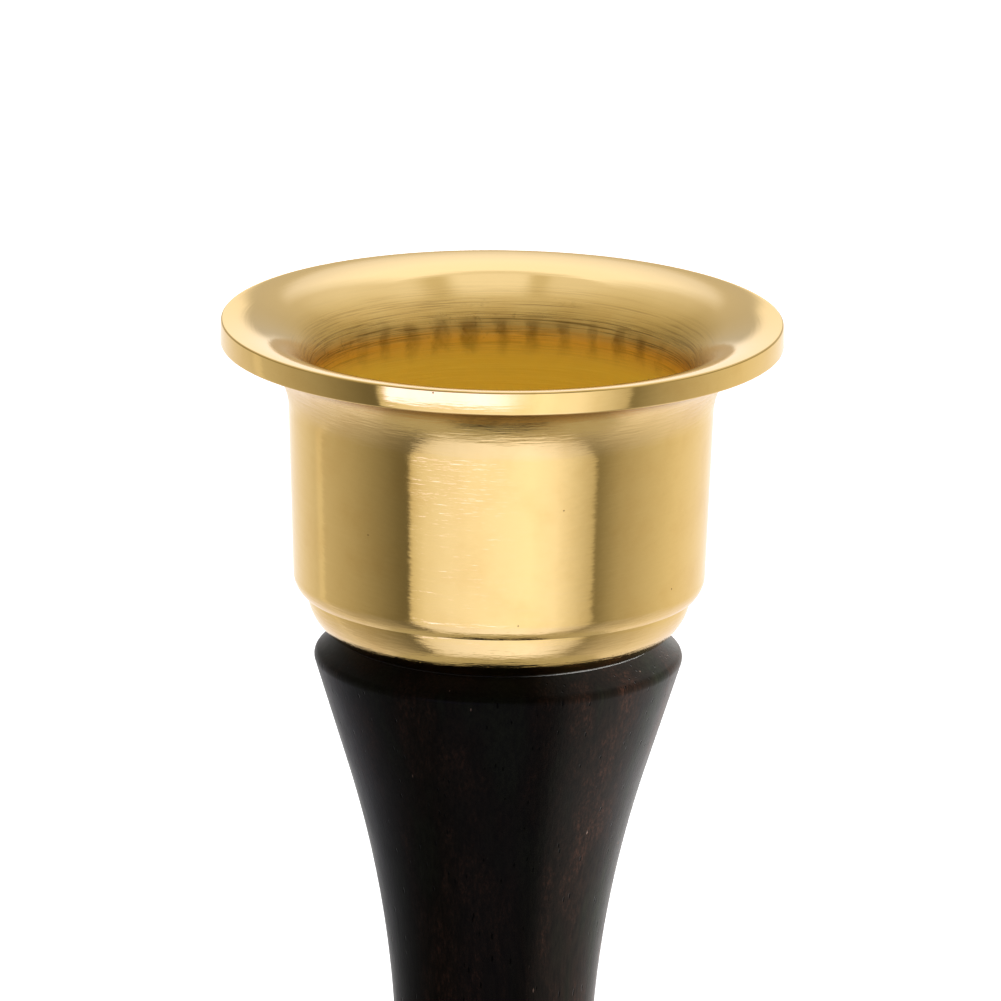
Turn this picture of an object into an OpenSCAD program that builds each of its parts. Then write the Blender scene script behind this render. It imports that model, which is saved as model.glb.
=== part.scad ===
// Candlestick: a turned brass candle cup screwed to a turned dark wood stem,
// which is tenoned and screwed into a turned, weighted and felted wood base.
// Millimetres, +Z up, origin at the middle of the face that it stands on.

/* [Overall] */
// Height of the whole candlestick, from the table to the top of the cup
height = 180; // [150:5:240]
// Diameter of the base
base_d = 76; // [66:1:100]

/* [Candle cup] */
// Diameter of the bore that grips the candle
bore_d = 22.4; // [20:0.1:27]
// Depth of the cup, from the top of the rim to its floor
cup_depth = 16.4; // [14:0.1:17]
// Height of the cup, from its seat on the stem to the top of the rim
cup_h = 19.6; // [19:0.1:24]
// Wall of the body where the flare begins
wall_top = 1.63; // [1.2:0.05:2.2]
// Wall of the body at its lower edge
wall_foot = 1.25; // [0.9:0.05:1.6]
// How far the rim stands out past the body
rim_out = 4.17; // [3:0.05:5.1]
// Thickness of the rim at its edge
rim_t = 1.45; // [1:0.05:1.8]
// Width of the flat land under the rim
rim_land = 0.7; // [0.4:0.05:1.5]
// Height of the flare inside the cup
flare_in_h = 4.2; // [3.5:0.1:6]
// Height of the flare outside the cup
flare_out_h = 5.6; // [4.8:0.1:7.5]
// Height of the quarter-round foot below the body
foot_h = 2.95; // [2.4:0.05:3.5]
// How far the foot steps in from the body
foot_step = 0.8; // [0.6:0.05:1.1]
// How far the quarter-round draws in down to the seat
foot_draw = 2.05; // [1.2:0.05:2.3]
// Height of the spigot that centres the cup in the stem
spigot_h = 0.6; // [0.4:0.05:0.8]

/* [Stem] */
// How far the top edge of the stem stands out past the cup's seat
lip_out = 1.2; // [0.8:0.05:1.6]
// Drop of the bevel round the top of the stem
bevel_h = 1.15; // [0.9:0.05:1.5]
// Slope of the neck just under the top, from upright, in degrees
neck_angle = 17.5; // [15:0.5:21]
// Diameter of the waist
waist_d = 11.8; // [10:0.1:14]
// Drop from the top of the stem to the waist
waist_drop = 28.7; // [24:0.1:36]
// Diameter of the stem where it stands on the base
stem_foot_d = 30; // [26:0.5:36]
// Diameter of the tenon
tenon_d = 12; // [10:0.5:14]
// Length of the tenon
tenon_l = 9.5; // [8:0.5:11]

/* [Base] */
// Height of the base, without the felt
base_h = 20; // [18:0.5:24]
// Height of the rounded edge of the base
edge_h = 8; // [7:0.5:9.5]
// Width of the rounded edge outside the hollow sweep
edge_w = 4.5; // [3.5:0.5:5.5]
// Diameter of the recess for the weight
recess_d = 50; // [42:1:52]
// Depth of the recess for the weight
recess_h = 6; // [5:0.5:6.5]
// Thickness of the felt
felt_t = 1.5; // [1:0.1:3]
// How far the felt stays in from the edge of the base
felt_in = 2; // [1.5:0.5:4]
// Thickness of the weight
weight_t = 5.6; // [4:0.1:5.9]
// Diameter of the hole through the weight
weight_hole_d = 14; // [13:0.5:18]
// Circle on which the screws of the weight stand
weight_pcd = 34; // [30:1:38]
// Number of screws that hold the weight
weight_screw_count = 3; // [3:1:4]

/* [Fasteners] */
// Outside diameter of the cup screw's thread
cup_screw_d = 4; // [3.5:0.5:5]
// Length of the cup screw
cup_screw_l = 25; // [16:1:30]
// Diameter of the cup screw's head
cup_head_d = 8; // [7:0.5:10]
// Outside diameter of the base screw's thread
base_screw_d = 4.5; // [4:0.5:5]
// Length of the base screw under its head
base_screw_l = 35; // [25:1:42]
// Diameter of the base screw's head
base_head_d = 8.6; // [8:0.2:9.8]
// Outside diameter of the washer under the base screw's head
washer_d = 12; // [10:0.5:12.5]
// Thickness of that washer
washer_t = 1; // [0.8:0.1:1.2]
// Outside diameter of the thread of the weight's screws
weight_screw_d = 3.5; // [3:0.5:4]
// Length of the weight's screws
weight_screw_l = 9; // [8:0.5:10.5]
// Diameter of the heads of the weight's screws
weight_head_d = 6.8; // [6:0.2:7.6]

/* [Hidden] */
$fn = 96;
eps = 0.01;        // how far a cut runs past the face that it opens
fit = 0.05;        // clearance round a glued or centring joint
thread_fit = 0.03; // clearance round the crests of a screw
shank_fit = 0.25;  // clearance round a screw that passes through
flush = 0.1;       // how far a countersunk head lies under its surface
arc_steps = 14;    // chords along a round stretch
curve_steps = 28;  // chords along the sweep of the stem

// Heights
base_z = felt_t;
shoulder_z = base_z + base_h;
seat_z = height - cup_h;
waist_z = seat_z - waist_drop;
web_z = base_z + recess_h;

// Candle cup, from its seat
bore_r = bore_d / 2;
body_top_r = bore_r + wall_top;
body_foot_r = bore_r + wall_foot;
rim_r = body_top_r + rim_out;
step_r = body_foot_r - foot_step;
foot_r = step_r - foot_draw;
spigot_r = foot_r - 0.65;
floor_z = cup_h - cup_depth;
ledge_w = 0.46;     // flat ledge left over the quarter-round foot
chamfer_h = 0.44;   // lower edge of the body
chamfer_round = 1.5; // rounding at the top of that edge
rim_edge = 0.12;    // rounding of the rim's edges
flare_turn = 82;    // turn of both flares, from upright
foot_turn = 75;     // turn of the quarter-round foot, down to the seat

// Stem
seat_r = foot_r + 0.2;
lip_r = seat_r + lip_out + 0.25;
lip_z = seat_z - bevel_h;
lip_round = 0.6;
waist_r = waist_d / 2;
stem_foot_r = stem_foot_d / 2;
sweep_power = 3.2;  // how late the stem sweeps out to its foot
seam = 0.3;         // bevel on each side of the seam between stem and base

// Base
base_r = base_d / 2;
sweep_r = base_r - edge_w;
edge_z = base_z + edge_h;
quirk = 0.6;        // small step between the sweep and the rounded edge
edge_round = 3.2;
base_round = 1.2;
felt_r = base_r - felt_in;

// ---- outlines ----------------------------------------------------------

function unit(v) = v / norm(v);
function flat(p) = [p[0], p[1]];

// The corner v between p and n, rounded to a radius.
function corner(p, v, n, radius, steps = 6) =
    radius <= 0 ? [flat(v)] :
    let (u = unit(flat(p) - flat(v)),
         w = unit(flat(n) - flat(v)),
         half = acos(u * w) / 2,
         centre = flat(v) + unit(u + w) * radius / sin(half),
         first = flat(v) + u * radius / tan(half) - centre,
         last = flat(v) + w * radius / tan(half) - centre,
         a = atan2(first[1], first[0]),
         turn = atan2(last[1], last[0]) - a,
         sweep = turn > 180 ? turn - 360 : turn < -180 ? turn + 360 : turn)
    [for (i = [0:steps]) centre + radius * [cos(a + sweep * i / steps), sin(a + sweep * i / steps)]];

// An outline of [radius, height, rounding] points, with its corners rounded.
function rounded(points) =
    let (n = len(points))
    [for (i = [0:n - 1])
        each corner(points[(i + n - 1) % n], points[i], points[(i + 1) % n],
                    points[i][2] == undef ? 0 : points[i][2])];

// Part of a quarter of an ellipse, upright at (r0, z0), that ends at (r1, z1) after a turn.
function flare(r0, z0, r1, z1, turn) =
    [for (i = [0:arc_steps])
        let (t = turn * i / arc_steps)
        [r0 + (r1 - r0) * (1 - cos(t)) / (1 - cos(turn)),
         z0 + (z1 - z0) * sin(t) / sin(turn)]];

function reversed(list) = [for (i = [len(list) - 1:-1:0]) list[i]];

// ---- fasteners ---------------------------------------------------------

// The threaded part of a wood screw, point downwards, from z = 0 down to -length.
module screw_thread(d, length, plain) {
    crest = d / 2;
    core = crest * 0.72;
    pitch = d * 0.4;
    tip = d * 0.9;
    turns = floor((length - plain - tip) / pitch);
    tip_z = -plain - turns * pitch;
    rotate_extrude()
        polygon(concat(
            [[0, 0], [crest, 0], [crest, -plain]],
            [for (i = [0:turns - 1], k = [0:1])
                let (z = -plain - pitch * i)
                k == 0 ? [core, z - pitch * 0.4] : [crest, z - pitch]],
            [[core * 0.85, tip_z - tip * 0.3], [0.25, -length], [0, -length]]));
}

// A slotted countersunk wood screw, the flat of its head at z = 0.
module countersunk_screw(d, length, head_d) {
    sink = (head_d - d) / 2;
    rim = 0.3;
    difference() {
        union() {
            translate([0, 0, -rim]) cylinder(d = head_d, h = rim);
            translate([0, 0, -rim - sink]) cylinder(d1 = d, d2 = head_d, h = sink);
            translate([0, 0, -rim - sink]) screw_thread(d, length - rim - sink, length * 0.28);
        }
        translate([-head_d, -0.5, -sink * 0.55]) cube([2 * head_d, 1, sink]);
    }
}

// The hole that a countersunk screw lies in, through a thickness, its mouth at z = 0.
module countersink(d, head_d, through) {
    sink = (head_d - d) / 2;
    rim = 0.3 + flush;
    translate([0, 0, -rim]) cylinder(d = head_d + 2 * fit, h = rim + eps);
    translate([0, 0, -rim - sink]) cylinder(d1 = d + 2 * fit, d2 = head_d + 2 * fit, h = sink);
    translate([0, 0, -through - eps]) cylinder(d = d + 2 * shank_fit, h = through + eps);
}

// Repeats its child round the circle of the weight's screws.
module on_weight_circle() {
    for (i = [0:weight_screw_count - 1])
        rotate([0, 0, 360 * i / weight_screw_count]) translate([weight_pcd / 2, 0, 0]) children();
}

// ---- sub-parts ---------------------------------------------------------

module candle_cup() {
    flare_in = reversed(flare(bore_r, cup_h - flare_in_h, rim_r, cup_h, flare_turn));
    outline = concat(
        [[0, -spigot_h], [spigot_r, -spigot_h], [spigot_r, 0]],
        reversed(flare(step_r, foot_h, foot_r, 0, foot_turn)),
        [[step_r + ledge_w, foot_h]],
        corner([step_r + ledge_w, foot_h], [body_foot_r, foot_h + chamfer_h],
               [body_top_r, cup_h - flare_out_h], chamfer_round),
        flare(body_top_r, cup_h - flare_out_h, rim_r - rim_land, cup_h - rim_t, flare_turn),
        corner([rim_r - rim_land, cup_h - rim_t], [rim_r, cup_h - rim_t], [rim_r, cup_h], rim_edge, 3),
        corner([rim_r, cup_h - rim_t], [rim_r, cup_h], flare_in[1], rim_edge, 3),
        [for (i = [1:arc_steps]) flare_in[i]],
        [[bore_r, floor_z], [0, floor_z]]);
    color("goldenrod")
        translate([0, 0, seat_z])
            difference() {
                rotate_extrude() polygon(outline);
                translate([0, 0, floor_z]) countersink(cup_screw_d, cup_head_d, floor_z + spigot_h);
            }
}

module cup_screw() {
    color("darkgoldenrod")
        translate([0, 0, seat_z + floor_z - flush])
            rotate([0, 0, 25])
                countersunk_screw(cup_screw_d, cup_screw_l, cup_head_d);
}

module stem() {
    rise = lip_z - waist_z;
    grow = lip_r - waist_r;
    neck_r = (rise * tan(neck_angle) - grow) / (1 / cos(neck_angle) - 1);
    neck = [for (i = [0:arc_steps])
        let (t = neck_angle * i / arc_steps)
        [waist_r + neck_r * (1 - cos(t)), waist_z + neck_r * sin(t)]];
    drop = waist_z - shoulder_z - seam;
    sweep = [for (i = [0:curve_steps - 1])
        let (t = 1 - i / curve_steps)
        [waist_r + (stem_foot_r - waist_r) * pow(t, sweep_power), waist_z - drop * t]];
    outline = concat(
        [[0, shoulder_z - tenon_l], [tenon_d / 2 - fit - 0.5, shoulder_z - tenon_l],
         [tenon_d / 2 - fit, shoulder_z - tenon_l + 0.5], [tenon_d / 2 - fit, shoulder_z],
         [stem_foot_r - seam, shoulder_z]],
        sweep,
        neck,
        corner(neck[arc_steps], [lip_r, lip_z], [seat_r, seat_z], lip_round),
        [[seat_r, seat_z], [spigot_r + fit, seat_z], [spigot_r + fit, seat_z - spigot_h - fit],
         [0, seat_z - spigot_h - fit]]);
    cup_screw_tip = seat_z + floor_z - flush - cup_screw_l;
    base_screw_tip = web_z - washer_t + base_screw_l;
    color("#2a1f1a")
        difference() {
            rotate_extrude() polygon(outline);
            translate([0, 0, cup_screw_tip - thread_fit])
                cylinder(d = cup_screw_d + 2 * thread_fit, h = cup_screw_l + eps);
            translate([0, 0, shoulder_z - tenon_l - eps])
                cylinder(d = base_screw_d + 2 * thread_fit,
                         h = base_screw_tip - (shoulder_z - tenon_l) + thread_fit);
        }
}

module base() {
    sweep = [for (i = [0:arc_steps])
        let (t = 90 * i / arc_steps)
        [sweep_r - (sweep_r - stem_foot_r) * cos(t),
         shoulder_z - seam - (shoulder_z - seam - edge_z) * sin(t)]];
    outline = concat(
        [[0, shoulder_z], [stem_foot_r - seam, shoulder_z]],
        sweep,
        [[sweep_r, edge_z - quirk]],
        corner([sweep_r, edge_z - quirk], [base_r, edge_z - quirk], [base_r, base_z], edge_round),
        corner([base_r, edge_z], [base_r, base_z], [0, base_z], base_round),
        [[recess_d / 2, base_z], [recess_d / 2, web_z], [0, web_z]]);
    color("#2a1f1a")
        difference() {
            rotate_extrude() polygon(outline);
            translate([0, 0, shoulder_z - tenon_l - 2 * fit])
                cylinder(d = tenon_d, h = tenon_l + 2 * fit + eps);
            translate([0, 0, web_z - eps])
                cylinder(d = base_screw_d + 2 * shank_fit, h = base_h);
            translate([0, 0, web_z - eps])
                on_weight_circle()
                    cylinder(d = weight_screw_d + 2 * thread_fit,
                             h = weight_screw_l - weight_t + flush + 2 * thread_fit);
        }
}

module base_washer() {
    color("silver")
        translate([0, 0, web_z - washer_t])
            difference() {
                cylinder(d = washer_d, h = washer_t);
                translate([0, 0, -eps])
                    cylinder(d = base_screw_d + 2 * shank_fit, h = washer_t + 2 * eps);
            }
}

module base_screw() {
    head_r = base_head_d / 2;
    head_h = base_head_d * 0.34;
    slot_w = 1.2;
    color("silver")
        translate([0, 0, web_z - washer_t])
            rotate([180, 0, 0])
                difference() {
                    union() {
                        screw_thread(base_screw_d, base_screw_l, base_screw_l * 0.3);
                        rotate_extrude()
                            polygon(concat(
                                [[0, 0], [head_r, 0]],
                                corner([head_r, 0], [head_r, head_h], [0, head_h], head_h * 0.7),
                                [[0, head_h]]));
                    }
                    translate([-head_r - eps, -slot_w / 2, head_h * 0.5])
                        cube([base_head_d + 2 * eps, slot_w, head_h]);
                }
}

module base_weight() {
    color("dimgray")
        translate([0, 0, web_z - weight_t])
            difference() {
                cylinder(d = recess_d - 8 * fit, h = weight_t);
                translate([0, 0, -eps]) cylinder(d = weight_hole_d, h = weight_t + 2 * eps);
                on_weight_circle()
                    rotate([180, 0, 0]) countersink(weight_screw_d, weight_head_d, weight_t);
            }
}

module weight_screws() {
    color("silver")
        translate([0, 0, web_z - weight_t + flush])
            on_weight_circle()
                rotate([180, 0, 40]) countersunk_screw(weight_screw_d, weight_screw_l, weight_head_d);
}

module felt_pad() {
    color("#203028") cylinder(r = felt_r, h = felt_t);
}

candle_cup();
cup_screw();
stem();
base();
base_screw();
base_washer();
base_weight();
weight_screws();
felt_pad();
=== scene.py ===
"""A candlestick: a turned brass candle cup on a turned dark wood stem and base."""

import math

import bmesh
import bpy
from bpy.props import FloatProperty, FloatVectorProperty, IntProperty, PointerProperty
from mathutils import Matrix, Vector, noise


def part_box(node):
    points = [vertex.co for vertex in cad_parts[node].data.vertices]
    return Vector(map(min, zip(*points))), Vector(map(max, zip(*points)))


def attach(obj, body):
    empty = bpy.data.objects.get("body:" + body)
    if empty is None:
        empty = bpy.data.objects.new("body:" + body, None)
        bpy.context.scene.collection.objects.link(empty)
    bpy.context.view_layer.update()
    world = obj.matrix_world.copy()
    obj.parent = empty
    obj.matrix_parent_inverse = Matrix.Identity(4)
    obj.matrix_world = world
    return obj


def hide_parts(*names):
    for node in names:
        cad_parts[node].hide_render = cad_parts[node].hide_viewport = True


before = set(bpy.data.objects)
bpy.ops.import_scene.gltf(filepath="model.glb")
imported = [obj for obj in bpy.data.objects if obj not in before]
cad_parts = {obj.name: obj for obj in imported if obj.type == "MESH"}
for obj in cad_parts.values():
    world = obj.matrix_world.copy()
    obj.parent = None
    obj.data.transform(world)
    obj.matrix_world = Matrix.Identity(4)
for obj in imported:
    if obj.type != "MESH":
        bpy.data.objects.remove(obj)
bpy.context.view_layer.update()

bl_info = {
    "name": "Turned Candlestick",
    "version": (1, 0, 0),
    "blender": (4, 5, 0),
    "location": "3D View > Sidebar > Candlestick",
    "description": "Builds a brass and dark wood candlestick on its packed frame",
    "category": "Object",
}

MM = 0.001
BODY = "root"
CUP_LOW, CUP_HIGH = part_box("candle_cup")
SCREW_LOW, SCREW_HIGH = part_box("cup_screw")
STEM_LOW, STEM_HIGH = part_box("stem")
BASE_LOW, BASE_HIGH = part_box("base")
BASE_SCREW_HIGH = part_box("base_screw")[1]
FELT_LOW, FELT_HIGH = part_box("felt_pad")
SEAT = STEM_HIGH.z
SHOULDER = BASE_HIGH.z
GAP = 0.05 * MM  # left between pieces that face each other
PILOT_GAP = 0.03 * MM  # left past a screw's point in its pilot hole
PILOT_R = 2.28 * MM  # radius of the base screw's pilot hole
CUP_PILOT_R = 2.03 * MM  # radius of the cup screw's pilot hole
FLARE_TURN = 82  # degrees that both flares turn, from upright


def length(name, description, value):
    """A size in metres, from a value in millimetres."""
    return FloatProperty(name=name, description=description, default=value * MM, unit="LENGTH")


def colour(name, description, hex_value):
    """A colour, from its sRGB hex value."""
    return FloatVectorProperty(
        name=name, description=description, default=linear(hex_value), size=4, subtype="COLOR"
    )


def linear(hex_value):
    """The linear colour of an sRGB hex value such as "B5803A"."""
    channels = []
    for i in (0, 2, 4):
        value = int(hex_value[i:i + 2], 16) / 255
        channels.append(value / 12.92 if value <= 0.04045 else ((value + 0.055) / 1.055) ** 2.4)
    return (*channels, 1.0)


# ---- sizes and colours ---------------------------------------------------


class CupSizes(bpy.types.PropertyGroup):
    """The candle cup and its screw."""

    height: length("Height", "From the seat on the stem to the top of the rim", 19.6)
    depth: length("Depth", "From the top of the rim to the floor", 16.4)
    bore: length("Bore", "Radius of the bore that grips the candle", 11.2)
    body_top: length("Body Top", "Radius of the body where the outer flare begins", 12.83)
    body_foot: length("Body Foot", "Radius of the body at its lower edge", 12.45)
    rim_edge: length("Rim Edge", "Thickness of the rim at its edge", 1.45)
    rim_slope: length("Rim Slope", "How far the rim's edge leans in towards its top", 0.03)
    flare_in: length("Inner Flare", "Height of the flare inside", 4.2)
    flare_out: length("Outer Flare", "Height of the flare outside", 5.6)
    step: length("Step", "Radius of the foot just under the body", 11.65)
    foot: length("Foot", "Radius of the foot at the seat", 9.6)
    foot_height: length("Foot Height", "Height of the foot", 2.95)
    screw_hole: length("Screw Hole", "Radius of the hole in the floor", 2.25)
    screw_head: length("Screw Head", "Radius of the screw's head", 4.0)
    screw_thread: length("Screw Thread", "Radius of the screw's thread", 2.0)
    steps: IntProperty(name="Steps", description="Steps round the cup", default=384)


class StemSizes(bpy.types.PropertyGroup):
    """The stem."""

    lip: length("Lip", "Radius of the top edge before it is rounded", 11.25)
    lip_drop: length("Lip Drop", "Drop of the bevel round the top", 1.15)
    seat: length("Seat", "Radius of the flat that the cup stands on", 9.8)
    waist: length("Waist", "Radius of the waist", 5.9)
    waist_drop: length("Waist Drop", "From the top of the stem to the waist", 28.7)
    foot: length("Foot", "Radius where the stem stands on the base", 15.0)
    tenon: length("Tenon", "Radius of the tenon", 5.95)
    seam: length("Seam", "Bevel on each side of the seam above the base", 0.3)
    neck_angle: FloatProperty(
        name="Neck Angle", description="Slope of the neck under the lip, from upright",
        default=math.radians(17.5), subtype="ANGLE",
    )
    sweep: FloatProperty(name="Sweep", description="How late the stem sweeps out to its foot", default=3.2)
    steps: IntProperty(name="Steps", description="Steps round the stem", default=256)


class BaseSizes(bpy.types.PropertyGroup):
    """The base, its recess and its felt."""

    edge: length("Edge", "Height of the rounded edge above the underside", 8.0)
    edge_width: length("Edge Width", "Width of the rounded edge outside the sweep", 4.5)
    quirk: length("Quirk", "Small step between the sweep and the rounded edge", 0.6)
    recess: length("Recess", "Radius of the recess for the weight", 25.0)
    recess_depth: length("Recess Depth", "Depth of that recess", 6.0)
    mortise: length("Mortise", "Radius of the mortise for the tenon", 6.0)
    screw_hole: length("Screw Hole", "Radius of the hole for the base screw", 2.5)
    felt_nap: length("Felt Nap", "How far the fibres stand proud of the felt's cut edge", 0.12)
    steps: IntProperty(name="Steps", description="Steps round the base", default=256)


class Finishes(bpy.types.PropertyGroup):
    """The colours of the finishes."""

    brass: colour("Brass", "Yellow brass where light meets it squarely", "F2CC7C")
    brass_worn: colour("Handled Brass", "Brass that has been handled and is a little browner", "E9BE6C")
    brass_bore: colour("Bore", "Brass inside the bore, with its skin of oxide", "FFE766")
    # Besides real tarnish, this colour is painted as shade under the outside of the rim.
    smudge: colour("Smudge", "Tarnish rubbed on by candle ends", "6E4A1E")
    heartwood: colour("Heartwood", "The blackest wood", "080503")
    heartwood_cool: colour("Cool Heartwood", "Where the black wood is slightly green", "090A05")
    streak: colour("Streak", "Red-brown streaks in the wood", "24140D")
    pore: colour("Pore", "Pale dust and wax in a few open pores", "43352E")
    steel: colour("Plated Steel", "Zinc on steel screws", "B9BAB8")
    iron: colour("Iron", "Turned and oiled cast iron", "5B5A58")
    felt: colour("Felt", "Dark green wool", "1C3A2A")
    paper: colour("Paper", "The paper that the candlestick stands on", "F6F6F6")


# ---- outlines, as (radius, height) in metres -----------------------------


def ellipse(low, high, turn, steps):
    """Points of a curve that starts upright at low and has turned by turn degrees at high."""
    end = math.radians(turn)
    points = []
    for i in range(steps + 1):
        t = end * i / steps
        across = (1 - math.cos(t)) / (1 - math.cos(end))
        up = math.sin(t) / math.sin(end)
        points.append((low[0] + (high[0] - low[0]) * across, low[1] + (high[1] - low[1]) * up))
    return points


def rounded(before, corner, after, radius, steps=6):
    """Points of the arc that rounds a corner between its two neighbours."""
    here = Vector(corner)
    back = (Vector(before) - here).normalized()
    ahead = (Vector(after) - here).normalized()
    half = back.angle(ahead) / 2
    reach = radius / math.tan(half)
    middle = here + (back + ahead).normalized() * radius / math.sin(half)
    first = here + back * reach - middle
    last = here + ahead * reach - middle
    turn = math.atan2(first.cross(last), first.dot(last))
    points = []
    for i in range(steps + 1):
        angle = turn * i / steps
        across = first.x * math.cos(angle) - first.y * math.sin(angle)
        up = first.x * math.sin(angle) + first.y * math.cos(angle)
        points.append((middle.x + across, middle.y + up))
    return points


def cup_outline(cup):
    """Half of a section through the cup, from the mouth of its screw hole and back to it."""
    top = SEAT + cup.height
    floor = top - cup.depth
    low = CUP_LOW.z
    rim = CUP_HIGH.x
    spigot = cup.foot - 0.65 * MM
    step = SEAT + cup.foot_height
    ledge = (cup.step + 0.46 * MM, step)
    lower_edge = (cup.body_foot, step + 0.44 * MM)
    rim_round = 0.12 * MM
    waist = (cup.body_top, top - cup.flare_out)
    edge_top = (rim - cup.rim_slope, top)
    edge_low = (rim, top - cup.rim_edge)
    flare_in = ellipse((cup.bore, top - cup.flare_in), edge_top, FLARE_TURN, 44)[::-1]
    flare_out = ellipse(waist, (rim - 0.7 * MM, top - cup.rim_edge), FLARE_TURN, 34)
    sink = cup.screw_head - cup.screw_thread
    mouth = floor - 0.4 * MM
    head = cup.screw_head + GAP
    thread = cup.screw_thread + GAP
    return (
        [(cup.screw_hole, low), (spigot, low), (spigot, SEAT)]
        + ellipse((cup.step, step), (cup.foot, SEAT), 75, 24)[::-1]
        + [ledge]
        + rounded(ledge, lower_edge, waist, 1.5 * MM, 16)
        + flare_out
        + rounded(flare_out[-1], edge_low, edge_top, rim_round)
        + rounded(edge_low, edge_top, flare_in[1], rim_round)
        + flare_in[1:]
        + rounded(flare_in[-1], (cup.bore, floor), (0, floor), 0.3 * MM)
        + rounded((cup.bore, floor), (head, floor), (cup.screw_head, mouth), 0.1 * MM, 3)
        + [(head, mouth), (thread, mouth - sink), (cup.screw_hole, mouth - sink - GAP)]
    )


def stem_outline(stem):
    """Half of a section through the stem, from the tip of its lower pilot hole to its upper one's."""
    lip = (stem.lip, SEAT - stem.lip_drop)
    waist_z = SEAT - stem.waist_drop
    rise = lip[1] - waist_z
    slope = stem.neck_angle
    grow = stem.lip - stem.waist
    bend = (rise * math.tan(slope) - grow) / (1 / math.cos(slope) - 1)
    neck = []
    for i in range(33):
        t = slope * i / 32
        neck.append((stem.waist + bend * (1 - math.cos(t)), waist_z + bend * math.sin(t)))
    drop = waist_z - SHOULDER - stem.seam
    sweep = []
    for i in range(64):
        t = 1 - i / 64
        sweep.append((stem.waist + (stem.foot - stem.waist) * t ** stem.sweep, waist_z - drop * t))
    tenon_low = STEM_LOW.z
    socket = 9.0 * MM
    socket_floor = CUP_LOW.z - GAP
    bevel = 0.5 * MM
    pilot = BASE_SCREW_HIGH.z + PILOT_GAP
    cup_pilot = SCREW_LOW.z - PILOT_GAP
    return (
        [(0, pilot), (PILOT_R, pilot), (PILOT_R, tenon_low)]
        + [(stem.tenon - bevel, tenon_low), (stem.tenon, tenon_low + bevel)]
        + [(stem.tenon, SHOULDER), (stem.foot - stem.seam, SHOULDER)]
        + sweep
        + neck
        + rounded(neck[-1], lip, (stem.seat, SEAT), 0.6 * MM, 10)
        + [(stem.seat, SEAT), (socket, SEAT), (socket, socket_floor)]
        + [(CUP_PILOT_R, socket_floor), (CUP_PILOT_R, cup_pilot), (0, cup_pilot)]
    )


def base_outline(base, stem):
    """Half of a section through the base, round its mortise and its recess."""
    under = BASE_LOW.z
    edge = under + base.edge
    rim = BASE_HIGH.x
    sweep_end = rim - base.edge_width
    web = under + base.recess_depth
    mortise = STEM_LOW.z - 0.1 * MM
    top = SHOULDER - stem.seam
    sweep = []
    for i in range(41):
        t = math.radians(90 * i / 40)
        across = sweep_end - (sweep_end - stem.foot) * math.cos(t)
        sweep.append((across, top - (top - edge) * math.sin(t)))
    quirk = (sweep_end, edge - base.quirk)
    shoulder = (rim, edge - base.quirk)
    foot = (rim, under)
    return (
        [(base.screw_hole, web), (base.screw_hole, mortise), (base.mortise, mortise)]
        + [(base.mortise, SHOULDER), (stem.foot - stem.seam, SHOULDER)]
        + sweep
        + [quirk]
        + rounded(quirk, shoulder, foot, 3.2 * MM, 14)
        + rounded(shoulder, foot, (0, under), 1.2 * MM, 8)
        + [(base.recess, under), (base.recess, web)]
    )


# ---- building ------------------------------------------------------------


def spun(outline, steps, closed=False):
    """The mesh that an outline sweeps out round Z; a closed outline comes back to its start."""
    mesh = bmesh.new()
    verts = [mesh.verts.new((r, 0, z)) for r, z in outline]
    pairs = list(zip(verts, verts[1:]))
    if closed:
        pairs.append((verts[-1], verts[0]))
    edges = [mesh.edges.new(pair) for pair in pairs]
    bmesh.ops.spin(
        mesh, geom=verts + edges, cent=(0, 0, 0), axis=(0, 0, 1), angle=math.tau,
        steps=steps, use_merge=True,
    )
    bmesh.ops.remove_doubles(mesh, verts=mesh.verts, dist=0.0005 * MM)
    bmesh.ops.recalc_face_normals(mesh, faces=mesh.faces)
    return mesh


def placed(mesh, name):
    """An object at the origin that holds the mesh."""
    data = bpy.data.meshes.new(name)
    mesh.to_mesh(data)
    mesh.free()
    piece = bpy.data.objects.new(name, data)
    bpy.context.scene.collection.objects.link(piece)
    return piece


def carved(mesh, tool, name):
    """The mesh with the tool's volume cut out of it."""
    piece = placed(mesh, name)
    cutter = placed(tool, name + "_cutter")
    cut = piece.modifiers.new("cut", "BOOLEAN")
    cut.object = cutter
    cut.solver = "EXACT"
    bpy.context.view_layer.update()
    evaluated = piece.evaluated_get(bpy.context.evaluated_depsgraph_get())
    result = bmesh.new()
    result.from_mesh(evaluated.data)
    bpy.data.objects.remove(piece)
    bpy.data.objects.remove(cutter)
    return result


def finish_piece(piece, materials, replaces, sharp=35):
    """Gives a piece its materials and its smooth shading, and lets it stand for its CAD node."""
    for material in materials:
        piece.data.materials.append(material)
    piece.data.shade_smooth()
    piece.data.set_sharp_from_angle(angle=math.radians(sharp))
    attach(piece, BODY)
    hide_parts(replaces)
    return piece


def wind_thread(mesh, core, crest, pitch, top, bottom):
    """Winds the sharp ridge of a wood screw's thread round its core, from top down to bottom."""
    half = pitch * 0.24
    corners = [(core * 0.97, half), (crest, half * 0.1), (crest, -half * 0.1), (core * 0.97, -half)]
    verts = [mesh.verts.new((r, 0, top + z)) for r, z in corners]
    face = mesh.faces.new(verts)
    turns = (top - bottom) / pitch
    steps = round(turns * 28)
    bmesh.ops.spin(
        mesh, geom=verts + list(face.edges) + [face], cent=(0, 0, 0), axis=(0, 0, 1),
        dvec=(0, 0, (bottom - top) / steps), angle=math.tau * turns, steps=steps,
    )


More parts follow.
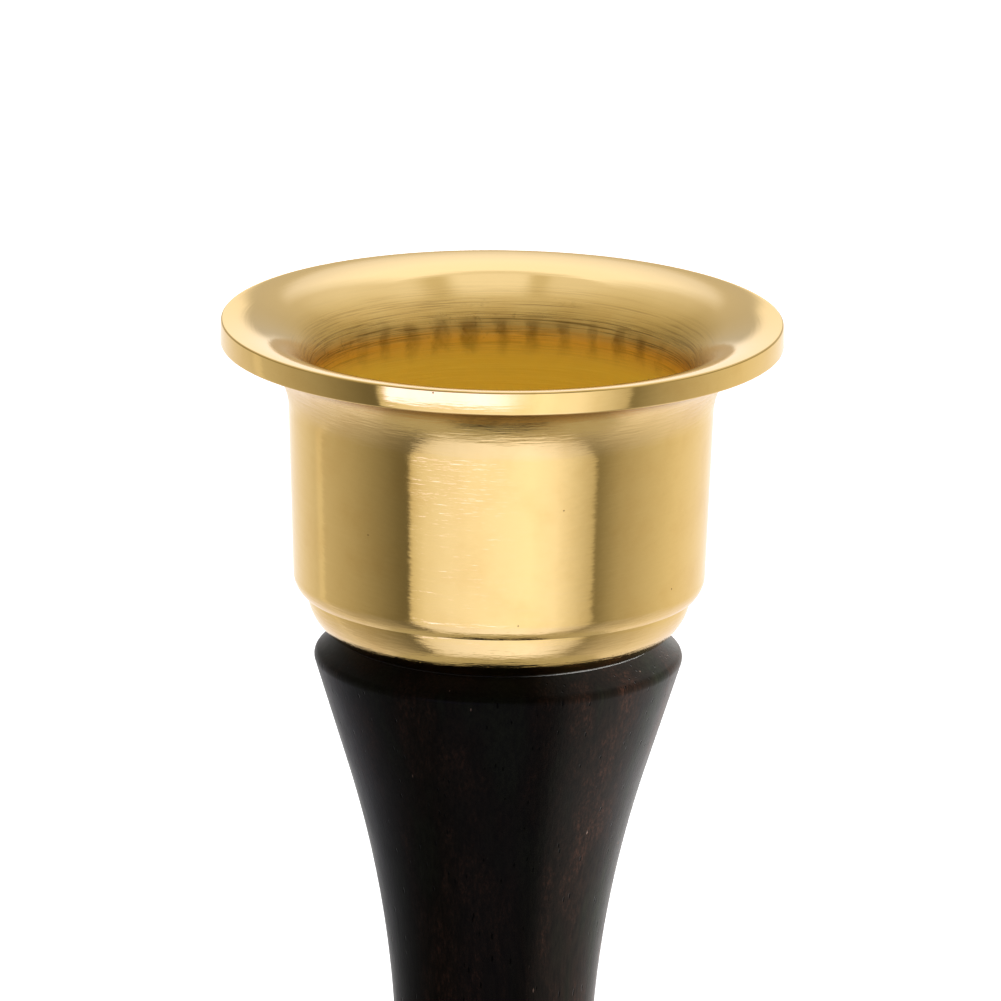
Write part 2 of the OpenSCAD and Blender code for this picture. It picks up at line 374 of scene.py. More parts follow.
def box(low, high):
    """A box between two corners."""
    mesh = bmesh.new()
    size = [b - a for a, b in zip(low, high)]
    middle = [(a + b) / 2 for a, b in zip(low, high)]
    matrix = Matrix.Translation(middle) @ Matrix.Diagonal((*size, 1.0))
    bmesh.ops.create_cube(mesh, size=1.0, matrix=matrix)
    return mesh


def countersunk_screw(thread, head, long):
    """A slotted countersunk wood screw, point down, the flat of its head at z = 0."""
    sink = head - thread
    rim = 0.3 * MM
    core = thread * 0.74
    neck = -long * 0.28 - rim - sink
    tip = -long + thread * 1.8
    outline = (
        [(0, 0)]
        + rounded((0, 0), (head, 0), (head, -rim), 0.1 * MM, 3)
        + [(head, -rim), (thread, -rim - sink), (thread * 0.96, neck), (core, neck - 0.4 * MM)]
        + [(core * 0.9, tip), (0.25 * MM, -long), (0, -long)]
    )
    slot = box((-2 * head, -0.5 * MM, -sink * 0.5), (2 * head, 0.5 * MM, head))
    mesh = carved(spun(outline, 72), slot, "screw")
    wind_thread(mesh, core, thread, thread * 0.8, neck - 0.6 * MM, tip)
    bmesh.ops.recalc_face_normals(mesh, faces=mesh.faces)
    return mesh


def moved(mesh, matrix):
    bmesh.ops.transform(mesh, matrix=matrix, verts=mesh.verts)
    return mesh


# ---- materials -----------------------------------------------------------


def add(tree, kind, inputs=None, **settings):
    """Adds a node with its settings, and its inputs as values or as sockets to link from."""
    node = tree.nodes.new(kind)
    for name, value in settings.items():
        setattr(node, name, value)
    for key, value in (inputs or {}).items():
        if isinstance(value, bpy.types.NodeSocket):
            tree.links.new(value, node.inputs[key])
        else:
            node.inputs[key].default_value = value
    return node


def begin(name):
    """An empty material, its tree, and its Object coordinates."""
    material = bpy.data.materials.new(name)
    material.use_nodes = True
    tree = material.node_tree
    tree.nodes.clear()
    return material, tree, add(tree, "ShaderNodeTexCoord").outputs["Object"]


def math_node(tree, operation, *values):
    return add(tree, "ShaderNodeMath", dict(enumerate(values)), operation=operation).outputs[0]


def span(tree, value, low, high, start=0.0, end=1.0, smooth=True):
    """start where value is low, end where it is high, and in between on the way."""
    kind = "SMOOTHSTEP" if smooth else "LINEAR"
    inputs = {"Value": value, "From Min": low, "From Max": high, "To Min": start, "To Max": end}
    return add(tree, "ShaderNodeMapRange", inputs, interpolation_type=kind).outputs[0]


def blend(tree, factor, a, b, kind="MIX"):
    node = add(tree, "ShaderNodeMix", data_type="RGBA", blend_type=kind)
    sockets = {0: factor, 6: a, 7: b}
    for index, value in sockets.items():
        if isinstance(value, bpy.types.NodeSocket):
            tree.links.new(value, node.inputs[index])
        else:
            node.inputs[index].default_value = value
    return node.outputs[2]


def polar(tree, place):
    """Distance from Z, height, and the direction round Z as a vector one metre long."""
    axes = add(tree, "ShaderNodeSeparateXYZ", {0: place}).outputs
    flat = add(tree, "ShaderNodeCombineXYZ", {"X": axes["X"], "Y": axes["Y"], "Z": 0.0}).outputs[0]
    radius = add(tree, "ShaderNodeVectorMath", {0: flat}, operation="LENGTH").outputs["Value"]
    direction = add(tree, "ShaderNodeVectorMath", {0: flat}, operation="NORMALIZE").outputs[0]
    return radius, axes["Z"], direction


def turning_lines(tree, place, across, along, detail=3.0, roughness=0.6):
    """Noise in lines round Z, across metres apart, that each last about along metres of a turn."""
    radius, height, direction = polar(tree, place)
    typical_radius = 12 * MM
    round_scale = typical_radius * across / along
    scaled = add(
        tree, "ShaderNodeVectorMath", {0: direction, "Scale": round_scale}, operation="SCALE"
    ).outputs[0]
    lift = add(tree, "ShaderNodeCombineXYZ", {"X": 0.0, "Y": 0.0, "Z": height}).outputs[0]
    spot = add(tree, "ShaderNodeVectorMath", {0: scaled, 1: lift}, operation="ADD").outputs[0]
    inputs = {
        "Vector": spot, "W": radius, "Scale": 1 / across, "Detail": detail, "Roughness": roughness,
    }
    return add(tree, "ShaderNodeTexNoise", inputs, noise_dimensions="4D").outputs["Fac"]


def grain_noise(tree, place, size, detail=2.0, roughness=0.5):
    inputs = {"Vector": place, "Scale": 1 / size, "Detail": detail, "Roughness": roughness}
    return add(tree, "ShaderNodeTexNoise", inputs).outputs["Fac"]


def bumped(tree, height, depth, under=None):
    inputs = {"Height": height, "Strength": 1.0, "Distance": depth}
    if under is not None:
        inputs["Normal"] = under
    return add(tree, "ShaderNodeBump", inputs).outputs[0]


def surface(tree, **inputs):
    """The Principled surface and the material's output."""
    named = {key.replace("_", " "): value for key, value in inputs.items()}
    shader = add(tree, "ShaderNodeBsdfPrincipled", named)
    add(tree, "ShaderNodeOutputMaterial", {"Surface": shader.outputs["BSDF"]})


def buffed_brass(finish, top):
    """Free-cutting brass, turned and then buffed: a mirror with faint ripples round the axis."""
    material, tree, place = begin("buffed_brass")
    height = add(tree, "ShaderNodeSeparateXYZ", {0: place}).outputs["Z"]
    fine = turning_lines(tree, place, 0.17 * MM, 1.8 * MM)
    ripple = turning_lines(tree, place, 0.5 * MM, 1.6 * MM, 2.0)
    cloud = grain_noise(tree, place, 3 * MM, 4.0, 0.6)
    tint = blend(
        tree, span(tree, cloud, 0.4, 0.8, 0.0, 0.6), tuple(finish.brass), tuple(finish.brass_worn)
    )
    # Sparse dark specks, where the bar had a pinhole.
    cells = add(tree, "ShaderNodeTexVoronoi", {"Vector": place, "Scale": 1 / (1.3 * MM)}).outputs
    rare = span(tree, add(tree, "ShaderNodeSeparateXYZ", {0: cells["Color"]}).outputs[0], 0.72, 0.74)
    speck = math_node(tree, "MULTIPLY", span(tree, cells["Distance"], 0.055, 0.025), rare)
    tint = blend(tree, speck, tint, tuple(finish.smudge))
    # The buff does not reach right up under the rim.
    missed = span(tree, height, top - 6.2 * MM, top - 3.4 * MM)
    missed = math_node(tree, "MULTIPLY", missed, span(tree, height, top - 1.5 * MM, top - 1.8 * MM))
    lines = math_node(tree, "MULTIPLY_ADD", missed, 4.0, 1.0)
    # The foot was only brushed, and the buff left faintly brushed patches on the body.
    brushed = span(tree, height, top - 15.4 * MM, top - 16.0 * MM)
    patches = span(tree, grain_noise(tree, place, 6 * MM, 3.0), 0.5, 0.68, 0.0, 0.08)
    brushed = math_node(tree, "MAXIMUM", brushed, patches)
    lines = math_node(tree, "ADD", lines, math_node(tree, "MULTIPLY", brushed, 2.2))
    # Painted shade: the band under the rim is darkened with the smudge colour, more so towards the rim.
    under_rim_painted_shade = math_node(tree, "MULTIPLY", missed, span(tree, height, top - 3.0 * MM, top - 1.9 * MM, 0.0, 0.7))
    tint = blend(tree, under_rim_painted_shade, tint, tuple(finish.smudge))
    rough = span(tree, cloud, 0.3, 0.7, 0.055, 0.085)
    rough = math_node(tree, "ADD", rough, math_node(tree, "MULTIPLY", missed, 0.13))
    rough = math_node(tree, "ADD", rough, math_node(tree, "MULTIPLY", brushed, 0.06))
    rough = math_node(tree, "ADD", rough, math_node(tree, "MULTIPLY", speck, 0.4))
    normal = bumped(tree, math_node(tree, "MULTIPLY", fine, lines), 0.007 * MM)
    normal = bumped(tree, ripple, 0.010 * MM, normal)
    surface(tree, Base_Color=tint, Metallic=1.0, Roughness=rough, Normal=normal)
    return material


def turned_brass(finish, top):
    """The same brass as the tool left it inside: lines round the axis, and rubbed by candle ends."""
    material, tree, place = begin("turned_brass")
    axes = add(tree, "ShaderNodeSeparateXYZ", {0: place}).outputs
    height = axes["Z"]
    fine = turning_lines(tree, place, 0.085 * MM, 5 * MM, 3.0, 0.7)
    broad = turning_lines(tree, place, 0.28 * MM, 7 * MM, 2.0)
    cloud = grain_noise(tree, place, 1.6 * MM, 4.0, 0.65)
    patchy = grain_noise(tree, place, 5 * MM, 2.0)
    deep = span(tree, height, top - 0.7 * MM, top - 3.4 * MM)
    inside = span(tree, height, top - 3.0 * MM, top - 5.8 * MM)
    # Ribbed candle ends leave a row of smudges at the mouth of the bore, where they were pushed in.
    turn = math_node(tree, "ARCTAN2", axes["X"], axes["Y"])
    drift = math_node(tree, "MULTIPLY", math_node(tree, "SUBTRACT", cloud, 0.5), 0.12)
    ribs = math_node(tree, "COSINE", math_node(tree, "MULTIPLY", math_node(tree, "ADD", turn, drift), 37.0))
    ribs = span(tree, math_node(tree, "MULTIPLY_ADD", patchy, 2.4, ribs), 0.6, 2.4)
    uneven = math_node(tree, "MULTIPLY", math_node(tree, "SUBTRACT", cloud, 0.5), 1.6 * MM)
    level = math_node(tree, "ADD", height, uneven)
    band = math_node(
        tree, "MULTIPLY",
        span(tree, level, top - 5.4 * MM, top - 4.3 * MM),
        span(tree, level, top - 2.5 * MM, top - 3.4 * MM),
    )
    far_side = span(tree, math_node(tree, "COSINE", math_node(tree, "SUBTRACT", turn, 0.1)), 0.35, 0.8)
    smudge = math_node(tree, "MULTIPLY", math_node(tree, "MULTIPLY", ribs, band), far_side)
    smudge = math_node(tree, "MULTIPLY", smudge, span(tree, cloud, 0.3, 0.7, 0.2, 0.6))
    # Dirt lies in the deeper lines.
    lines = math_node(tree, "MULTIPLY", span(tree, fine, 0.54, 0.40), span(tree, broad, 0.64, 0.40))
    fade = math_node(tree, "MULTIPLY_ADD", inside, -0.55, 1.0)
    lines = math_node(tree, "MULTIPLY", math_node(tree, "MULTIPLY", lines, deep), fade)
    dull = math_node(tree, "MULTIPLY", deep, span(tree, cloud, 0.3, 0.7, 0.2, 0.8))
    tint = blend(tree, dull, tuple(finish.brass), tuple(finish.brass_worn))
    tint = blend(tree, math_node(tree, "MULTIPLY", lines, 0.7), tint, tuple(finish.smudge))
    tarnish = span(tree, grain_noise(tree, place, 0.45 * MM, 5.0, 0.75), 0.54, 0.72, 0.0, 0.55)
    tarnish = math_node(tree, "MULTIPLY", tarnish, span(tree, patchy, 0.42, 0.62))
    tint = blend(tree, math_node(tree, "MULTIPLY", tarnish, deep), tint, tuple(finish.smudge))
    tint = blend(tree, smudge, tint, tuple(finish.smudge))
    tint = blend(tree, inside, tint, tuple(finish.brass_bore))
    tint = blend(tree, math_node(tree, "MULTIPLY", smudge, 0.3), tint, tuple(finish.smudge))
    rough = math_node(tree, "MULTIPLY_ADD", deep, 0.23, 0.07)
    rough = math_node(tree, "MULTIPLY_ADD", inside, 0.5, rough)
    rough = math_node(tree, "MULTIPLY_ADD", smudge, 0.15, rough)
    relief = math_node(tree, "MULTIPLY_ADD", deep, 0.9, 0.1)
    normal = bumped(tree, math_node(tree, "MULTIPLY", fine, relief), 0.02 * MM)
    normal = bumped(tree, math_node(tree, "MULTIPLY", broad, relief), 0.03 * MM, normal)
    # A dull skin of oxide is left in the bore.
    bare = math_node(tree, "MULTIPLY_ADD", inside, -0.6, 1.0)
    surface(tree, Base_Color=tint, Metallic=bare, Roughness=rough, Normal=normal)
    return material


def drawn_brass(finish):
    """A brass wood screw: drawn wire, faced on the head, a little dull."""
    material, tree, place = begin("drawn_brass")
    lines = turning_lines(tree, place, 0.12 * MM, 3 * MM)
    cloud = grain_noise(tree, place, 1.5 * MM, 3.0)
    tint = blend(tree, cloud, tuple(finish.brass_worn), tuple(finish.smudge))
    tint = blend(tree, 0.65, tint, tuple(finish.brass_worn))
    rough = span(tree, cloud, 0.3, 0.7, 0.22, 0.36)
    surface(
        tree, Base_Color=tint, Metallic=1.0, Roughness=rough,
        Normal=bumped(tree, lines, 0.008 * MM),
    )
    return material


def stretched(tree, place, share):
    """Coordinates in which a pattern comes out long and narrow along Z."""
    inputs = {0: place, 1: (1.0, 1.0, share)}
    return add(tree, "ShaderNodeVectorMath", inputs, operation="MULTIPLY").outputs[0]


def blackwood(name, finish, turned_to_x):
    """Blackwood, turned and oiled: near black, with red-brown streaks and open pores on a satin face."""
    material, tree, place = begin(name)
    turn = (0.0, math.radians(90), 0.0) if turned_to_x else (0.0, 0.0, math.radians(12))
    along = add(
        tree, "ShaderNodeMapping", {"Vector": place, "Location": (0.021, 0.006, 0.0), "Rotation": turn}
    ).outputs[0]
    sway = grain_noise(tree, stretched(tree, along, 0.4), 16 * MM, 1.0)
    flat = (1.0, 1.0, 0.0)
    bend = add(tree, "ShaderNodeVectorMath", {0: flat, "Scale": sway}, operation="SCALE").outputs[0]
    bend = add(tree, "ShaderNodeVectorMath", {0: bend, "Scale": 4 * MM}, operation="SCALE").outputs[0]
    grain = add(tree, "ShaderNodeVectorMath", {0: along, 1: bend}, operation="ADD").outputs[0]
    streaks = grain_noise(tree, stretched(tree, grain, 0.06), 3.4 * MM, 3.0, 0.6)
    fibres = grain_noise(tree, stretched(tree, grain, 0.1), 0.22 * MM, 3.0, 0.65)
    flecks = grain_noise(tree, stretched(tree, grain, 0.35), 0.15 * MM, 3.0, 0.75)
    mottle = grain_noise(tree, stretched(tree, grain, 0.3), 1.1 * MM, 4.0, 0.7)
    red = span(tree, streaks, 0.46, 0.62)
    red = math_node(tree, "MULTIPLY", red, span(tree, mottle, 0.36, 0.6, 0.3, 1.0))
    red = math_node(tree, "MULTIPLY", red, span(tree, flecks, 0.44, 0.66, 0.1, 0.8))
    green = span(tree, streaks, 0.5, 0.34)
    tint = blend(tree, green, tuple(finish.heartwood), tuple(finish.heartwood_cool))
    tint = blend(tree, red, tint, tuple(finish.streak))
    tint = blend(tree, span(tree, fibres, 0.3, 0.7, 0.0, 0.6), tint, grey(0.0))
    # Pores: short slits along the grain, a few of them holding pale dust.
    cells = add(
        tree, "ShaderNodeTexVoronoi", {"Vector": stretched(tree, along, 0.22), "Scale": 1 / (0.36 * MM)}
    ).outputs
    pick = add(tree, "ShaderNodeSeparateXYZ", {0: cells["Color"]}).outputs
    crowd = grain_noise(tree, stretched(tree, along, 0.5), 2.6 * MM, 2.0)
    open_here = span(tree, math_node(tree, "ADD", pick[0], crowd), 1.14, 1.2)
    slit = math_node(tree, "MULTIPLY", span(tree, cells["Distance"], 0.2, 0.1), open_here)
    dusty = span(tree, math_node(tree, "ADD", pick[1], crowd), 1.50, 1.52)
    dusty = math_node(tree, "MULTIPLY", span(tree, cells["Distance"], 0.15, 0.06), dusty)
    tint = blend(tree, slit, tint, grey(0.0))
    tint = blend(tree, dusty, tint, tuple(finish.pore))
    rough = span(tree, mottle, 0.3, 0.7, 0.30, 0.40)
    rough = math_node(tree, "ADD", rough, math_node(tree, "MULTIPLY", slit, 0.3))
    normal = bumped(tree, fibres, 0.006 * MM)
    normal = bumped(tree, flecks, 0.006 * MM, normal)
    normal = bumped(tree, math_node(tree, "MULTIPLY", slit, -1.0), 0.015 * MM, normal)
    surface(
        tree, Base_Color=tint, Roughness=rough, Normal=normal, IOR=1.1,
        Specular_Tint=(1.0, 0.88, 0.66, 1.0),
        Sheen_Weight=0.23, Sheen_Roughness=0.3, Sheen_Tint=(1.0, 0.99, 0.95, 1.0),
    )
    return material


def plated_steel(finish):
    """Zinc-plated steel screws and washer: bright, with a fine spangle."""
    material, tree, place = begin("zinc_plated_steel")
    cloud = grain_noise(tree, place, 0.8 * MM, 4.0)
    tint = blend(tree, cloud, tuple(finish.steel), linear("8E9194"))
    rough = span(tree, cloud, 0.3, 0.7, 0.24, 0.4)
    surface(tree, Base_Color=tint, Metallic=1.0, Roughness=rough, Normal=bumped(tree, cloud, 0.01 * MM))
    return material


def turned_iron(finish):
    """Grey cast iron, faced on the lathe and oiled: dark, with tool marks round the axis."""
    material, tree, place = begin("turned_cast_iron")
    lines = turning_lines(tree, place, 0.3 * MM, 12 * MM)
    cloud = grain_noise(tree, place, 2.5 * MM, 5.0, 0.65)
    tint = blend(tree, span(tree, cloud, 0.35, 0.7), tuple(finish.iron), linear("38302A"))
    rough = span(tree, cloud, 0.3, 0.7, 0.38, 0.6)
    normal = bumped(tree, lines, 0.03 * MM)
    normal = bumped(tree, cloud, 0.03 * MM, normal)
    surface(tree, Base_Color=tint, Metallic=1.0, Roughness=rough, Normal=normal)
    return material


def wool_felt(finish):
    """Pressed wool felt: matt, with short fibres lying every way and a soft sheen."""
    material, tree, place = begin("wool_felt")
    curl = {0: grain_noise(tree, place, 1.2 * MM, 2.0), "Scale": 1.2 * MM}
    warp = add(tree, "ShaderNodeVectorMath", curl, operation="SCALE").outputs[0]
    bent = add(tree, "ShaderNodeVectorMath", {0: place, 1: warp}, operation="ADD").outputs[0]
    fibres = grain_noise(tree, bent, 0.18 * MM, 5.0, 0.75)
    clumps = grain_noise(tree, place, 1.6 * MM, 3.0)
    shade = math_node(tree, "MULTIPLY", fibres, clumps)
    dark = blend(tree, 1.0, tuple(finish.felt), grey(0.45), "MULTIPLY")
    tint = blend(tree, span(tree, shade, 0.12, 0.4), dark, tuple(finish.felt))
    normal = bumped(tree, fibres, 0.12 * MM)
    normal = bumped(tree, clumps, 0.15 * MM, normal)
    surface(
        tree, Base_Color=tint, Roughness=0.95, Normal=normal,
        Sheen_Weight=0.35, Sheen_Roughness=0.6, Specular_IOR_Level=0.2,
    )
    return material


def white_paper(finish):
    """A sheet of smooth white paper, lit so that it reads as white."""
    material, tree, _ = begin("white_paper")
    surface(
        tree, Base_Color=tuple(finish.paper), Roughness=0.9, Specular_IOR_Level=0.1,
        Emission_Color=grey(1.0), Emission_Strength=0.35,
    )
    return material


def grey(value):
    return (value, value, value, 1.0)


# ---- operators -----------------------------------------------------------


class MakeCup(bpy.types.Operator):
    """Turns the brass candle cup"""

    bl_idname = "candlestick.cup"
    bl_label = "Candle Cup"

    def execute(self, context):
        cup = context.scene.cup_sizes
        finish = context.scene.finishes
        mesh = spun(cup_outline(cup), cup.steps, closed=True)
        floor = SEAT + cup.height - cup.depth
        for face in mesh.faces:
            middle = face.calc_center_median()
            outward = Vector((middle.x, middle.y, 0)).normalized().dot(face.normal)
            face.material_index = int(outward < 0.05 and middle.z > floor - 0.1 * MM)
        piece = placed(mesh, "candle_cup_brass")
        metals = [buffed_brass(finish, SEAT + cup.height), turned_brass(finish, SEAT + cup.height)]
        finish_piece(piece, metals, "candle_cup", sharp=50)
        return {"FINISHED"}


class MakeCupScrew(bpy.types.Operator):
    """Makes the slotted screw in the floor of the cup"""

    bl_idname = "candlestick.cup_screw"
    bl_label = "Cup Screw"

    def execute(self, context):
        cup = context.scene.cup_sizes
        mesh = countersunk_screw(cup.screw_thread, cup.screw_head, SCREW_HIGH.z - SCREW_LOW.z)
        turn = Matrix.Rotation(math.radians(25), 4, "Z")
        piece = placed(moved(mesh, Matrix.Translation((0, 0, SCREW_HIGH.z)) @ turn), "cup_screw_brass")
        finish_piece(piece, [drawn_brass(context.scene.finishes)], "cup_screw")
        return {"FINISHED"}


class MakeStem(bpy.types.Operator):
    """Turns the dark wood stem"""

    bl_idname = "candlestick.stem"
    bl_label = "Stem"

    def execute(self, context):
        stem = context.scene.stem_sizes
        piece = placed(spun(stem_outline(stem), stem.steps), "stem_blackwood")
        wood = blackwood("oiled_blackwood", context.scene.finishes, turned_to_x=False)
        finish_piece(piece, [wood], "stem")
        return {"FINISHED"}


class MakeBase(bpy.types.Operator):
    """Turns the dark wood base, its grain across the stem's"""

    bl_idname = "candlestick.base"
    bl_label = "Base"

    def execute(self, context):
        scene = context.scene
        outline = base_outline(scene.base_sizes, scene.stem_sizes)
        piece = placed(spun(outline, scene.base_sizes.steps, closed=True), "base_blackwood")
        wood = blackwood("oiled_blackwood_across", scene.finishes, turned_to_x=True)
        finish_piece(piece, [wood], "base")
        return {"FINISHED"}


class MakeHardware(bpy.types.Operator):
    """Gives the weight, the washer and the steel screws their finishes"""

    bl_idname = "candlestick.hardware"
    bl_label = "Weight and Screws"

    def execute(self, context):
        finish = context.scene.finishes
        steel = plated_steel(finish)
        iron = turned_iron(finish)
        metals = {"base_screw": steel, "base_washer": steel, "weight_screws": steel, "base_weight": iron}
        for name, metal in metals.items():
            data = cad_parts[name].data
            data.materials.clear()
            data.materials.append(metal)
        return {"FINISHED"}


class MakeFelt(bpy.types.Operator):
    """Cuts the felt under the base"""

    bl_idname = "candlestick.felt"
    bl_label = "Felt"

    def execute(self, context):
        nap = context.scene.base_sizes.felt_nap
        low, high = FELT_LOW.z, FELT_HIGH.z
        edge = FELT_HIGH.x - nap
        corner = 0.35 * MM
        rings = [(edge * i / 24, low) for i in range(24)]
        outline = (
            rings
            + rounded((0, low), (edge, low), (edge, high), corner)
            + rounded((edge, low), (edge, high), (0, high), corner)
            + [(0, high)]
        )
        mesh = spun(outline, 240)
        for vert in mesh.verts:
            spot = vert.co / (0.9 * MM)
            reach = Vector((vert.co.x, vert.co.y, 0))
            if reach.length > edge - 2 * corner:
                vert.co += reach.normalized() * nap * noise.noise(spot)
            elif vert.co.z < (low + high) / 2:
                vert.co.z += 0.05 * MM * (1 + noise.noise(spot / 2))
        piece = placed(mesh, "felt_pad_wool")
        finish_piece(piece, [wool_felt(context.scene.finishes)], "felt_pad", sharp=80)
        return {"FINISHED"}


# The light tent round the object: degrees from the camera's side, brightness, and how cool it is.
TENT = (
    (-180, 1.15, 0.3), (-150, 0.92, 0.4), (-130, 0.76, 0.4), (-123, 0.70, 0.4), (-120, 0.79, 0.4),
    (-117, 0.78, 0.4), (-114, 0.62, 0.4), (-90, 0.45, 0.3), (-74, 0.31, 0.2), (-58, 0.18, 0.1),
    (-51.5, 0.15, 0.1), (-50.5, 0.72, 0.4), (-42, 0.98, 0.8), (-28, 1.13, 1.0), (0, 1.28, 1.0),
    (17, 1.36, 1.0), (31, 1.22, 1.0), (40, 0.95, 0.8), (53, 0.58, 0.4), (55, 0.23, 0.1),
    (70, 0.45, 0.3), (93, 0.66, 0.4), (114, 0.84, 0.4), (140, 0.97, 0.4), (180, 1.15, 0.3),
)
# The roof of the tent is the product of these, by degrees: sideways from the plane of the camera,
SIDES = (
    (-90, 0.30), (-76, 0.42), (-65, 0.50), (-44, 0.53), (-35, 0.60), (-27, 0.70), (-21, 0.80),
    (-15, 0.92), (0, 0.95), (15, 0.95), (22, 0.93), (28, 0.84), (37, 0.74), (46, 0.70), (68, 0.57),
    (90, 0.42),
)
# up from the horizon,
RISE = ((0, 0.60), (20, 0.63), (30, 0.73), (37, 0.90), (45, 1.0), (90, 1.0))
# and over the top, from the horizon behind the object to the horizon in front.
OVER = ((0, 1.0), (80, 1.0), (93, 0.86), (105, 0.72), (120, 0.65), (135, 0.50), (180, 0.45))
# A wide soft box behind, by degrees sideways.
BACK_BOX = ((-30, 1.0), (-17, 1.0), (-11, 1.42), (11, 1.42), (17, 1.0), (30, 1.0))
# A narrow one overhead between two dark bars, by hundredths of slope sideways.
TOP_BOX = (
    (-60, 1.0), (-25, 1.0), (-21, 0.98), (-18.5, 0.79), (-12.5, 0.79), (-10, 1.16), (20, 1.16),
    (23, 0.98), (26, 0.76), (33, 0.76), (39, 0.95), (45, 1.05), (60, 1.0),
)
# How cool the roof is by its brightness, in hundredths: the boxes are cooler than the cloth.
COOLNESS = ((0, 0.0), (46, 0.0), (100, 1.0), (130, 1.25), (200, 1.25))
BRIGHTEST = 2.0


def brightness_ramp(tree, share, stops):
    """A ramp over the degrees of its stops, whose white stands for BRIGHTEST."""
    low, high = stops[0][0], stops[-1][0]
    node = add(tree, "ShaderNodeValToRGB", {"Fac": span(tree, share, low, high, smooth=False)})
    elements = node.color_ramp.elements
    while len(elements) < len(stops):
        elements.new(1.0)
    for element, stop in zip(elements, stops):
        element.position = (stop[0] - low) / (high - low)
        element.color = cool_light(stop[1] / BRIGHTEST, *stop[2:])
    return node.outputs["Color"]


def cool_light(value, coolness=None):
    """A grey, or with a coolness the colour of light that goes from warm at 0 to cool at 1."""
    if coolness is None:
        return grey(value)
    return (value * (1.06 - 0.11 * coolness), value, value * (0.82 + 0.48 * coolness), 1.0)


def make_world():
    """A light tent round the object, and plain white behind it."""
    world = bpy.data.worlds.new("light_tent")
    bpy.context.scene.world = world
    world.use_nodes = True
    tree = world.node_tree
    tree.nodes.clear()
    ray = add(tree, "ShaderNodeTexCoord").outputs["Generated"]
    axes = add(tree, "ShaderNodeSeparateXYZ", {0: ray}).outputs
    front = math_node(tree, "MULTIPLY", axes["Y"], -1.0)
    around = math_node(tree, "DEGREES", math_node(tree, "ARCTAN2", axes["X"], front))
    up = math_node(tree, "DEGREES", math_node(tree, "ARCSINE", axes["Z"]))
    side = math_node(tree, "DEGREES", math_node(tree, "ARCSINE", axes["X"]))
    over = math_node(tree, "DEGREES", math_node(tree, "ARCTAN2", axes["Z"], axes["Y"]))

    # The sides: a window of light in front, whose top left corner glares, above grey paper.
    walls = brightness_ramp(tree, around, TENT)
    glare = math_node(tree, "MULTIPLY", span(tree, around, -50, -46), span(tree, around, 14, -8))
    glare = math_node(tree, "MULTIPLY", glare, span(tree, up, -15.7, -14.4))
    walls = blend(tree, glare, walls, tuple(c / BRIGHTEST for c in (1.8, 1.95, 4.4, 1.0)))
    paler = blend(tree, span(tree, up, -19, -32), grey(1.0), (1.0, 1.02, 1.22, 1.0))
    walls = blend(tree, 1.0, walls, paler, "MULTIPLY")
    walls = blend(tree, span(tree, up, -56, -60), walls, grey(0.5 / BRIGHTEST))

    # The roof.
    roof = brightness_ramp(tree, side, SIDES)
    middle = span(tree, math_node(tree, "ABSOLUTE", side), 50, 25)
    falls = blend(tree, middle, grey(1 / BRIGHTEST), brightness_ramp(tree, over, OVER))
    behind = math_node(tree, "MULTIPLY", span(tree, over, 26, 31), span(tree, over, 60.5, 59.5))
    above = math_node(tree, "MULTIPLY", span(tree, over, 62, 64), span(tree, over, 101, 97))
    slope = math_node(tree, "DIVIDE", axes["X"], math_node(tree, "SUBTRACT", 1.0, axes["Y"]))
    slope = math_node(tree, "MULTIPLY", slope, 100.0)
    back_box = blend(tree, behind, grey(1 / BRIGHTEST), brightness_ramp(tree, side, BACK_BOX))
    top_box = blend(tree, above, grey(1 / BRIGHTEST), brightness_ramp(tree, slope, TOP_BOX))
    for factor in (brightness_ramp(tree, up, RISE), falls, back_box, top_box):
        doubled = blend(tree, 1.0, factor, grey(BRIGHTEST), "MULTIPLY")
        roof = blend(tree, 1.0, roof, doubled, "MULTIPLY")
    hundredths = math_node(tree, "MULTIPLY", roof, 100 * BRIGHTEST)
    cool = brightness_ramp(tree, hundredths, COOLNESS)
    cool = math_node(tree, "MULTIPLY", cool, BRIGHTEST)
    tint = blend(tree, cool, cool_light(1.0, 0.0), cool_light(1.0, 1.0))
    tint.node.clamp_factor = False
    roof = blend(tree, 1.0, roof, tint, "MULTIPLY")

    # Straight behind the object, the bright wall goes up further.
    middle = span(tree, math_node(tree, "ABSOLUTE", side), 7.5, 4.5)
    middle = math_node(tree, "MULTIPLY", middle, span(tree, over, 60, 40))
    light = blend(tree, span(tree, up, -2, 8), walls, roof)
    light = blend(tree, math_node(tree, "MULTIPLY", middle, span(tree, up, 21, 18)), light, walls)
    tent = add(tree, "ShaderNodeBackground", {"Color": light, "Strength": BRIGHTEST})
    paper = add(tree, "ShaderNodeBackground", {"Color": grey(1.0), "Strength": 1.0})
    seen = add(tree, "ShaderNodeLightPath").outputs["Is Camera Ray"]
    both = add(tree, "ShaderNodeMixShader", {0: seen, 1: tent.outputs[0], 2: paper.outputs[0]})
    add(tree, "ShaderNodeOutputWorld", {"Surface": both.outputs[0]})


def make_side_light():
    """A low light from the right and a little behind, which only matt surfaces pick up."""
    data = bpy.data.lights.new("side_light", "SUN")
    data.energy = 42.0
    data.angle = math.radians(8)
    light = bpy.data.objects.new("side_light", data)
    bpy.context.scene.collection.objects.link(light)
    light.rotation_euler = (math.radians(87), 0.0, math.radians(106))
    light.visible_glossy = False


def make_floor(finish):
    """The paper under the object, wide enough to fill every view."""
    mesh = bmesh.new()
    bmesh.ops.create_circle(mesh, cap_ends=True, segments=96, radius=8.0)
    floor = placed(mesh, "paper_floor")
    floor.data.materials.append(white_paper(finish))
    floor.visible_glossy = False


